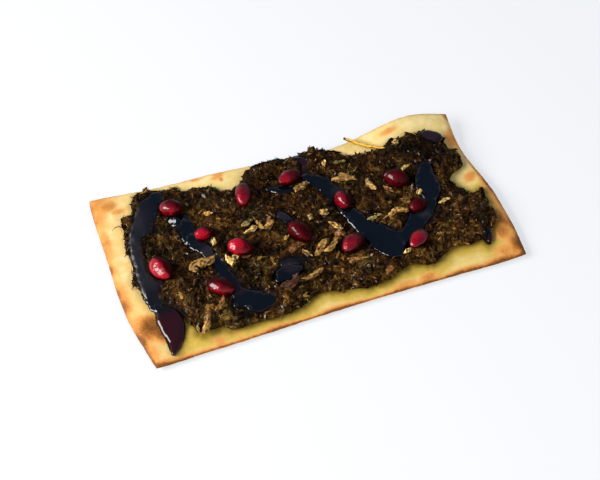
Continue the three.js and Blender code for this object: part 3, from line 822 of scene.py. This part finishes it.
# Thick lumps that lean to the left: x, y, length, width, height.
LUMPS = [
    (-47.2, 18.2, 2.6, 3.4, 1.3), (-38.5, -28.6, 0.9, 1.3, 0.8), (-33.8, -31.2, 0.9, 1.3, 0.8),
    (-68, -14, 1, 1.8, 0.8),
]
LUMP_FACING = Vector((-0.61, -0.32, 0.73))
LUMP_LIFT = 0.1

# Places where the syrup is a thin film: x, y, reach, how maroon, how hazy.
FILMS = [
    (-40, -1, 4, 0.2, 0.75), (-7, 7.5, 4, 0.2, 0.6), (-12.5, -18, 4.5, 0.3, 0.4), (18, 12, 4, 0, 0.5),
    (45, -10, 4, 0, 0.6), (62.6, 27.4, 6, 1, 0.45), (9.8, 30, 6, 0.8, 0), (-62, 26, 9, 0.1, 0.5),
    (-65.4, 9, 8, 0.1, 0.4), (-34.6, -21, 4, 0.6, 0.1),
]


def roughen(piece, size, depth, group=""):
    """Pushes a surface in and out by soft noise of one size."""
    texture = bpy.data.textures.new(f"{piece.name}_relief", "CLOUDS")
    texture.noise_scale = size
    finish_with(piece, "DISPLACE", texture=texture, strength=depth, mid_level=0.5,
                vertex_group=group, texture_coords="LOCAL")
    bpy.data.textures.remove(texture)


def join(pieces, name):
    """Joins pieces in one mesh."""
    select_only(pieces[0])
    for piece in pieces[1:]:
        piece.select_set(True)
    bpy.ops.object.join()
    pieces[0].name = pieces[0].data.name = name
    return pieces[0]


def surface_height(x, y):
    """Height of the topping, or of the bare bread, in millimetres."""
    tops = [top_of(tree, x * MM, y * MM) for tree in (spinach_tree, bread_tree)]
    return max((top / MM for top in tops if top is not None), default=0.0)


def way_across(places, k):
    """The level way across a path at one of its places."""
    ahead = np.subtract(places[min(k + 1, len(places) - 1)][:2], places[max(k - 1, 0)][:2])
    return np.array([-ahead[1], ahead[0]]) / max(1e-6, np.hypot(*ahead))


def settled_heights(path):
    """The level that the syrup takes along its path: the usual height across it, evened out."""
    heights = []
    for k, (x, y, width) in enumerate(path):
        side = way_across(path, k)
        spots = [np.array([x, y]) + side * width / 2 * s for s in np.linspace(-0.7, 0.7, 7)]
        heights.append(np.median([surface_height(*spot) for spot in spots]))
    padded = np.pad(heights, EVENED_OVER, mode="edge")
    return np.array([padded[k:k + 2 * EVENED_OVER + 1].mean() for k in range(len(heights))])


def round_tip(end, neighbour, height):
    """Stations that round off the end of a run, from the tip inwards: x, y, width, height."""
    away = end[:2] - neighbour[:2]
    away = away / np.hypot(*away)
    half = end[2] / 2
    return [
        (*(end[:2] + away * half * over), 2 * half * math.sqrt(max(0.0025, 1 - over ** 2)), height)
        for over in TIP_STATIONS
    ]


def syrup_mesh(name, path):
    """One run as a closed skin: round lips at both sides and both ends."""
    heights = settled_heights(path)
    stations = round_tip(path[0], path[1], heights[0])
    stations += [(x, y, width, height) for (x, y, width), height in zip(path, heights)]
    stations += round_tip(path[-1], path[-2], heights[-1])[::-1]
    rings = []
    for k, (x, y, width, height) in enumerate(stations):
        side = way_across(stations, k)
        half = width / 2
        lip = min(DOME if name in DOMED_RUNS else LIP, 0.9 * half)
        top = height + (SYRUP_LEVEL if name in LEVEL_RUNS else SYRUP_PROUD)
        profile = [(half - lip * (1 - math.cos(a)), top - 0.9 * lip * (1 - math.sin(a)))
                   for a in np.linspace(0, math.pi / 2, LIP_STEPS)]
        right = [(0.85 * half, height - SYRUP_DEEP), *profile]
        ring = [(-s, h) for s, h in right] + [(0, top)] + [(s, h) for s, h in right[::-1]]
        rings.append([Vector((x + side[0] * s, y + side[1] * s, h)) * MM for s, h in ring])
    count = len(rings[0])
    vertices = [v for ring in rings for v in ring]
    faces = [
        (k * count + i, k * count + (i + 1) % count, (k + 1) * count + (i + 1) % count, (k + 1) * count + i)
        for k in range(len(rings) - 1) for i in range(count)
    ]
    faces += [tuple(reversed(range(count))), tuple(range(len(vertices) - count, len(vertices)))]
    mesh = bpy.data.meshes.new(name)
    mesh.from_pydata(vertices, [], faces)
    return new_piece(name, mesh)


runs = [syrup_mesh(name, path) for name, path in syrup_paths.items()]
lump_lie = np.array(LUMP_FACING.to_track_quat("Z", "X").to_matrix())
for x, y, long, wide, high in LUMPS:
    bpy.ops.mesh.primitive_ico_sphere_add(subdivisions=4, radius=1)
    lump = bpy.context.object
    turned = points_of(lump) * (long, wide, high) @ lump_lie.T
    place_points(lump, (turned + (x, y, surface_height(x, y) + LUMP_LIFT)) * MM)
    runs.append(lump)
syrup = join(runs, "syrup_drizzle")
edit_all(syrup, bpy.ops.mesh.normals_make_consistent, inside=False)
finish_with(syrup, "REMESH", mode="VOXEL", voxel_size=SYRUP_GRAIN * MM, adaptivity=0)
finish_with(syrup, "SMOOTH", factor=0.5, iterations=6)

# The lips are lumpy, less so on the drip, and smooth at the far right.
skin = points_of(syrup)
on_drip = ramp(-14, -20, skin[:, 1] / MM) * ramp(-56, -60, skin[:, 0] / MM)
lips = ramp(2.4, 0.9, syrup_cover(skin, syrup_places)) * (1 - 0.75 * on_drip) * (skin[:, 0] < 57 * MM)
group_by(syrup, "lips", lips)
roughen(syrup, 3 * MM, 1.1 * MM, "lips")
roughen(syrup, 1.4 * MM, 0.6 * MM, "lips")
finish_with(syrup, "SMOOTH", factor=0.5, iterations=3)
bpy.ops.object.shade_smooth()

# It is maroon where it is thin, hazy over leaf near the left, and duller along the left band.
syrup_points = points_of(syrup)
syrup_x, syrup_y = syrup_points[:, 0] / MM, syrup_points[:, 1] / MM
maroon = ramp(-19, -24, syrup_y) * ramp(-56, -60, syrup_x)
maroon += 2 * ramp(-27, -28, syrup_y) * ramp(61, 62, syrup_x)
hazy = 0.25 * ramp(-50, -56, syrup_x) * ramp(-22, -14, syrup_y)
for x, y, reach, how_maroon, how_hazy in FILMS:
    near = ramp(reach, 0.4 * reach, np.hypot(syrup_x - x, syrup_y - y))
    maroon = np.maximum(maroon, how_maroon * near)
    hazy = np.maximum(hazy, how_hazy * near)
weigh(syrup, "thin", maroon)
weigh(syrup, "hazy", hazy)
weigh(syrup, "dull", ramp(-56, -60, syrup_x) * ramp(-13, -9, syrup_y))

SYRUP_DARK = (0.0012, 0.0016, 0.0028)
SYRUP_MAROON = (0.016, 0.0016, 0.0022)
SYRUP_HAZY = (0.015, 0.011, 0.014)
syrup_shade = Shade("fruit_syrup", Specular_IOR_Level=0.5, IOR=1.45)
syrup_colour = syrup_shade.mix(syrup_shade.attribute("thin"), SYRUP_DARK, SYRUP_MAROON)
syrup_shade.feed(
    Base_Color=syrup_shade.mix(syrup_shade.attribute("hazy"), syrup_colour, SYRUP_HAZY),
    Roughness=0.06 + 0.36 * syrup_shade.attribute("dull"),
    Normal=syrup_shade.bump(syrup_shade.grain(5 * MM, 1), 0.1 * MM, 0.3),
)
syrup_shade.cover(syrup)
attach(syrup, "root")

# Chopped nuts and flakes of browned onion are strewn over the top and pressed in lightly. They are
# knobbly and tan, from pale green to dark brown, and no two are alike.

CHIP_COLOURS = [
    (0.24, 0.13, 0.03), (0.42, 0.28, 0.085), (0.2, 0.15, 0.04), (0.12, 0.047, 0.01), (0.06, 0.021, 0.007),
]
NUT_CREST = (2.5, 2.3, 2.3)
NUT_PIT = (0.12, 0.08, 0.05)

# A chip's height beside its width, how many flat breaks a splinter has, how long it is beside its
# outline's half length, and how deep its crags go.
CHIP_HEIGHT = 0.7
CHIP_BREAKS = 9
SPLINTER_REACH = 0.78
CRAG_DEPTH = 0.38

# For a chip of one, two or three splinters: how long and how wide each is beside the chip.
SPLINTER_LENGTHS = {1: 1, 2: 0.78, 3: 0.68}
SPLINTER_WIDTHS = {1: 1, 2: 0.9, 3: 0.9}
SPLINTER_SPACING = 0.68
chip_rng = random.Random(5)


def shard(length, width, height, colour, seed):
    """One splinter along X, broken flat on many sides, with grooves and pits."""
    bpy.ops.mesh.primitive_ico_sphere_add(subdivisions=4, radius=1)
    piece = bpy.context.object
    ball = points_of(piece)
    for _ in range(CHIP_BREAKS):
        facing = np.array([chip_rng.gauss(0, 1) for _ in range(3)])
        facing /= np.linalg.norm(facing)
        ball -= np.outer(np.maximum(0, ball @ facing - chip_rng.uniform(0.3, 0.65)), facing)
    points = ball * (length, width, height) * SPLINTER_REACH
    crags = 0.5 * clouds(points, 0.8, seed) + 0.5 * ridges(points * (0.5, 1, 1), 0.9, seed + 0.4)
    points += ball * (CRAG_DEPTH * min(1.2, 0.5 * width) * crags)[:, None]
    points[:, 1] += chip_rng.uniform(-0.25, 0.25) * width * ball[:, 0] ** 2
    shade = np.array(CHIP_COLOURS[colour]) * chip_rng.uniform(0.75, 1.25)
    skin = piece.data.attributes.new("skin", "FLOAT_COLOR", "POINT")
    skin.data.foreach_set("color", np.tile([*shade, 1], len(points)).astype(np.float32).ravel())
    weigh(piece, "crag", crags)
    return piece, points


def chip(x, y, length, width, turn, colour, k):
    """One chip: a few splinters that cling together in a row, sunk a little into the spinach."""
    splinters = 1 + (length >= 4.3) + (length >= 8.5)
    other = TAN if colour in (PALE, GREEN, BROWN) else BROWN
    height = CHIP_HEIGHT * width
    pieces = []
    for part in range(splinters):
        share = (part + 0.5) / splinters - 0.5
        long = length * SPLINTER_LENGTHS[splinters] * chip_rng.uniform(0.9, 1.1)
        wide = width * chip_rng.uniform(0.6, 1) * SPLINTER_WIDTHS[splinters]
        drawn = chip_rng.choice([colour, colour, colour, other])
        tint = drawn if splinters > 1 else colour
        piece, points = shard(long, wide, height * chip_rng.uniform(0.7, 1), tint, 3 * k + part)
        yaw = chip_rng.gauss(0, 0.2) if splinters > 1 else 0
        roll = chip_rng.gauss(0, 0.5)
        pitch = chip_rng.gauss(0, 0.22)
        turned = np.array(Euler((roll, pitch, math.radians(turn) + yaw)).to_matrix())
        aside = share * length * SPLINTER_SPACING
        across = chip_rng.uniform(-0.22, 0.22) * width
        cos, sin = math.cos(math.radians(turn)), math.sin(math.radians(turn))
        centre = np.array([x + aside * cos - across * sin, y + aside * sin + across * cos, 0])
        ground = 0.5 * (surface_height(x, y) + surface_height(*centre[:2]))
        centre[2] = ground + height * chip_rng.uniform(0.05, 0.25)
        place_points(piece, (points @ turned.T + centre) * MM)
        pieces.append(piece)
    return pieces


chips = join([piece for k, row in enumerate(CHIPS) for piece in chip(*row, k)], "chopped_nuts")
bpy.ops.object.shade_smooth_by_angle(angle=math.radians(30))

nut_shade = Shade("toasted_nut", Specular_IOR_Level=0.2, Coat_Weight=0.15, Coat_Roughness=0.12)
nut_grain = nut_shade.grain(1.1 * MM, 5, 0.7)
crag = nut_shade.attribute("crag") + 1.8 * (nut_grain - 0.5)
nut_skin = nut_shade.attribute("skin", "Color")
# Crests are paler and pits darker: the toasted skin's own colour in part, and painted light and shade on the
# relief in part.
nut_crest = nut_shade.mix(1.0, nut_skin, NUT_CREST, "MULTIPLY")
nut_colour = nut_shade.mix(nut_shade.between(0.2, 0.8, crag), nut_skin, nut_crest)
nut_pit = nut_shade.mix(1.0, nut_skin, NUT_PIT, "MULTIPLY")
nut_colour = nut_shade.mix(nut_shade.between(0.3, -0.35, crag), nut_colour, nut_pit)
nut_shade.feed(
    Base_Color=nut_colour,
    Roughness=0.75 - 0.4 * nut_grain,
    Normal=nut_shade.bump(nut_grain, 0.4 * MM, 0.9),
)
nut_shade.cover(chips)
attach(chips, "root")

# A strand of onion, stained yellow, lies from the spinach out over the bread's far edge. A
# hair-thin curl of dark leaf stalk stands off the left margin.

TENDRIL = [(-70.4, 24.4, 4.6), (-69.6, 24.9, 5.2), (-67.4, 24.6, 5.9), (-65.3, 22, 5.9), (-63.5, 19, 5.4)]
STRAND_RADIUS = 0.64
TENDRIL_RADIUS = 0.16
ONION_YELLOW = (0.72, 0.39, 0.02)
ONION_BROWN = (0.4, 0.16, 0.02)


def thread(name, route, radius):
    """A thin strand along a smooth route, pointed at its free end."""
    path = smooth_path(route, 0.4)
    curve = bpy.data.curves.new(name, "CURVE")
    curve.dimensions = "3D"
    spline = curve.splines.new("POLY")
    spline.points.add(len(path) - 1)
    for k, (point, place) in enumerate(zip(spline.points, path)):
        point.co = (*(place * MM), 1)
        point.radius = 0.3 + 0.7 * min(1, k / 4)
    curve.bevel_depth = radius * MM
    curve.bevel_resolution = 2
    curve.use_fill_caps = True
    select_only(new_piece(name, curve))
    bpy.ops.object.convert(target="MESH")
    return bpy.context.object


strand = thread("onion_strand", STRAND, STRAND_RADIUS)
tendril = thread("onion_tendril", TENDRIL, TENDRIL_RADIUS)
onion_shade = Shade("yellow_onion", Roughness=0.35, Subsurface_Weight=0.2, Subsurface_Scale=0.001)
onion_grain = onion_shade.grain(1.4 * MM, 3)
onion_colour = onion_shade.mix(onion_shade.between(0.4, 0.7, onion_grain), ONION_YELLOW, ONION_BROWN)
onion_shade.feed(Base_Color=onion_colour, Normal=onion_shade.bump(onion_grain, 0.15 * MM, 0.6))
onion_shade.cover(strand)
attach(strand, "root")
leaf_shade.cover(tendril)
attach(tendril, "root")

# The arils are whole ruby seeds of the fruit: a taut, wet, clear red skin over juice, with flats
# where neighbours pressed and one drawn-out end. Each sits in a shallow hollow of the spinach.

# The juice's red on its painted lit side and on its painted shaded side.
ARIL_LIT_RED = (0.3, 0.0008, 0.009)
ARIL_SHADED_RED = (0.022, 0.0001, 0.0005)

# The way that each aril's painted lit side faces, towards the key light, and how much it varies from one aril
# to the next.
LIT_SIDE_WAY = Vector((-0.62, -0.5, 0.6))
LIT_SIDE_STRAY = 0.3

# How much an aril is plumped up, in millimetres.
ARIL_PLUMP = 0.12

# How light the juice of each aril is, by its number; it scales the painted light on its lit side.
ARIL_LIGHTNESS = [0.52, 1.0, 0.66, 0.85, 0.53, 0.5, 0.26, 0.54, 0.28, 0.24, 0.5, 0.55, 0.43]

aril_shade = Shade("ruby_aril", Roughness=0.35, Specular_IOR_Level=0.05, Coat_Roughness=0.13, Coat_IOR=1.45,
                   Subsurface_Weight=0.3, Subsurface_Scale=0.0012, Subsurface_Radius=(1.0, 0.1, 0.12))
aril_cells = aril_shade.between(0.3, 0.7, aril_shade.grain(3.4 * MM, 1))
lit = aril_shade.attribute("glow")
# The side that faces the key light is painted a clear red and the far side a dark one, as painted light and
# shade; the coat, with its highlights, lies mostly on that painted lit side.
painted_lit_juice = aril_shade.between(0.08, 0.9, lit * (0.7 + 0.5 * aril_cells))
aril_shade.feed(
    Base_Color=aril_shade.mix(painted_lit_juice, ARIL_SHADED_RED, ARIL_LIT_RED),
    Coat_Weight=0.04 + 0.8 * aril_shade.between(0.13, 0.4, lit),
)
aril_rng = random.Random(3)
for node, lightness in zip(ARIL_NODES, ARIL_LIGHTNESS):
    stray = Vector([aril_rng.uniform(-LIT_SIDE_STRAY, LIT_SIDE_STRAY) for _ in range(3)])
    lit_way = (LIT_SIDE_WAY + stray).normalized()
    aril = own_copy(node, node.replace("aril", "ruby_aril"))
    finish_with(aril, "SUBSURF", levels=3, render_levels=3)
    place_points(aril, points_of(aril) + ARIL_PLUMP * MM * normals_of(aril))
    roughen(aril, 3 * MM, 0.35 * MM)
    # Painted light: how far each vertex faces the key light's way.
    weigh(aril, "glow", lightness * (0.1 + 0.9 * ramp(0.1, 1.0, normals_of(aril) @ lit_way)))
    roughen(aril, 0.9 * MM, 0.24 * MM)
    bpy.ops.object.shade_smooth()
    aril_shade.cover(aril)
    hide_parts(node)
    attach(aril, "root")

# The setting: a plain white floor under a large soft light from the left, a weaker one from the
# front, and a dim bluish surround that the dark syrup mirrors.

FLOOR_GREY = (0.25, 0.25, 0.25)
FLOOR_GLOW = (0.955, 0.975, 1.0)
HAZE = [(0.1, (0.5, 0.52, 0.58)), (0.72, (0.09, 0.15, 0.26))]

bpy.ops.mesh.primitive_plane_add(size=6, location=(0, 0, -0.1 * MM))
floor = bpy.context.object
floor.name = "floor"
floor_shade = Shade("white_floor", Roughness=0.9, Specular_IOR_Level=0.1)
floor_shade.feed(Base_Color=FLOOR_GREY, Emission_Color=FLOOR_GLOW, Emission_Strength=0.61)
floor_shade.cover(floor)
floor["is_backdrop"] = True


def soft_light(name, place, size, power, colour):
    """A soft rectangular light that faces the bread."""
    bpy.ops.object.light_add(type="AREA", location=place)
    light = bpy.context.object
    light.name = name
    light.data.shape = "RECTANGLE"
    light.data.size, light.data.size_y = size
    light.data.energy = power
    light.data.color = colour
    light.rotation_euler = Vector(place).to_track_quat("Z", "Y").to_euler()
    return light


soft_light("key", (-0.74, 0.04, 0.47), (0.85, 0.4), 17.5, (1, 0.98, 0.95))
fill = soft_light("fill", (0.35, -0.75, 0.9), (0.8, 0.8), 7, (1, 0.99, 0.97))
fill.visible_glossy = False

world = bpy.data.worlds.new("studio")
bpy.context.scene.world = world
world.use_nodes = True
sky = world.node_tree
level = sky.nodes.new("ShaderNodeSeparateXYZ")
sky.links.new(sky.nodes.new("ShaderNodeTexCoord").outputs["Generated"], level.inputs[0])
haze = sky.nodes.new("ShaderNodeValToRGB")
sky.links.new(level.outputs["Z"], haze.inputs[0])
for element, (position, colour) in zip(haze.color_ramp.elements, HAZE):
    element.position = position
    element.color = (*colour, 1)
sky.links.new(haze.outputs["Color"], sky.nodes["Background"].inputs["Color"])
bpy.context.scene.view_settings.view_transform = "Standard"

# The camera looks down on the bread from the near left, through a long lens.

AZIMUTH = math.radians(-20.248)
ELEVATION = math.radians(48.932)
DISTANCE = 0.69593
AIM = Vector((-0.00277, -0.00101, 0))
back = Vector((
    math.sin(AZIMUTH) * math.cos(ELEVATION), -math.cos(AZIMUTH) * math.cos(ELEVATION), math.sin(ELEVATION),
))
bpy.ops.object.camera_add(location=AIM + DISTANCE * back)
camera = bpy.context.object
camera.rotation_euler = back.to_track_quat("Z", "Y").to_euler()
camera.data.sensor_width = 36
camera.data.lens = 108
camera.data.clip_start = 0.01
camera.data.clip_end = 20
bpy.context.scene.camera = camera

low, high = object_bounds()
